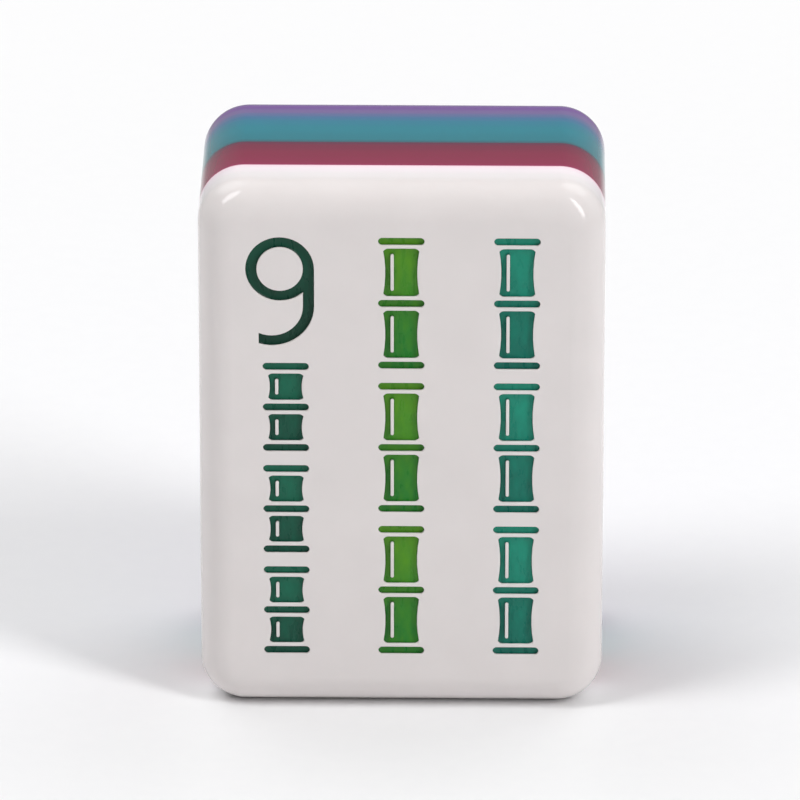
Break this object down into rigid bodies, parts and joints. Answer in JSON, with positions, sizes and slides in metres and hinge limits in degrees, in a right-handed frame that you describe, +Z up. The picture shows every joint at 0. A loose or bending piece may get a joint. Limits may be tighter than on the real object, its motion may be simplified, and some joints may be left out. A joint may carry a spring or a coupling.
{
  "type": "mahjong tile",
  "caption": "Upright laminated mahjong tile: coloured acrylic layers bonded face to back, rounded all over, with bamboo sticks and a numeral engraved in the white face and filled with paint.",
  "frame": {"origin": "middle of the tile's footprint, on the surface that its lower end stands on", "axes": "+Z up along the height of the face, +X to the right as seen from in front of the face, -Y out of the white face and +Y out of the purple back"},
  "size_m": [0.022, 0.015, 0.0305],
  "materials": {
    "white_acrylic": "polished opaque white acrylic",
    "crimson_acrylic": "polished deep crimson acrylic",
    "teal_acrylic": "polished teal acrylic",
    "purple_acrylic": "polished slightly translucent purple acrylic",
    "clear_cement": "clear acrylic cement, polished flush at the sides",
    "deep_green_paint": "satin deep green enamel fill",
    "leaf_green_paint": "satin leaf green enamel fill",
    "teal_paint": "satin teal enamel fill"
  },
  "bodies": {
    "root": {"face_layer": "white_acrylic", "face_bond": "clear_cement", "crimson_layer": "crimson_acrylic", "middle_bond": "clear_cement", "teal_layer": "teal_acrylic", "back_bond": "clear_cement", "back_layer": "purple_acrylic", "numeral": "deep_green_paint", "lower_left_stick": "deep_green_paint", "lower_centre_stick": "leaf_green_paint", "lower_right_stick": "teal_paint", "middle_left_stick": "deep_green_paint", "middle_centre_stick": "leaf_green_paint", "middle_right_stick": "teal_paint", "upper_left_stick": "deep_green_paint", "upper_centre_stick": "leaf_green_paint", "upper_right_stick": "teal_paint"}
  },
  "joints": []
}
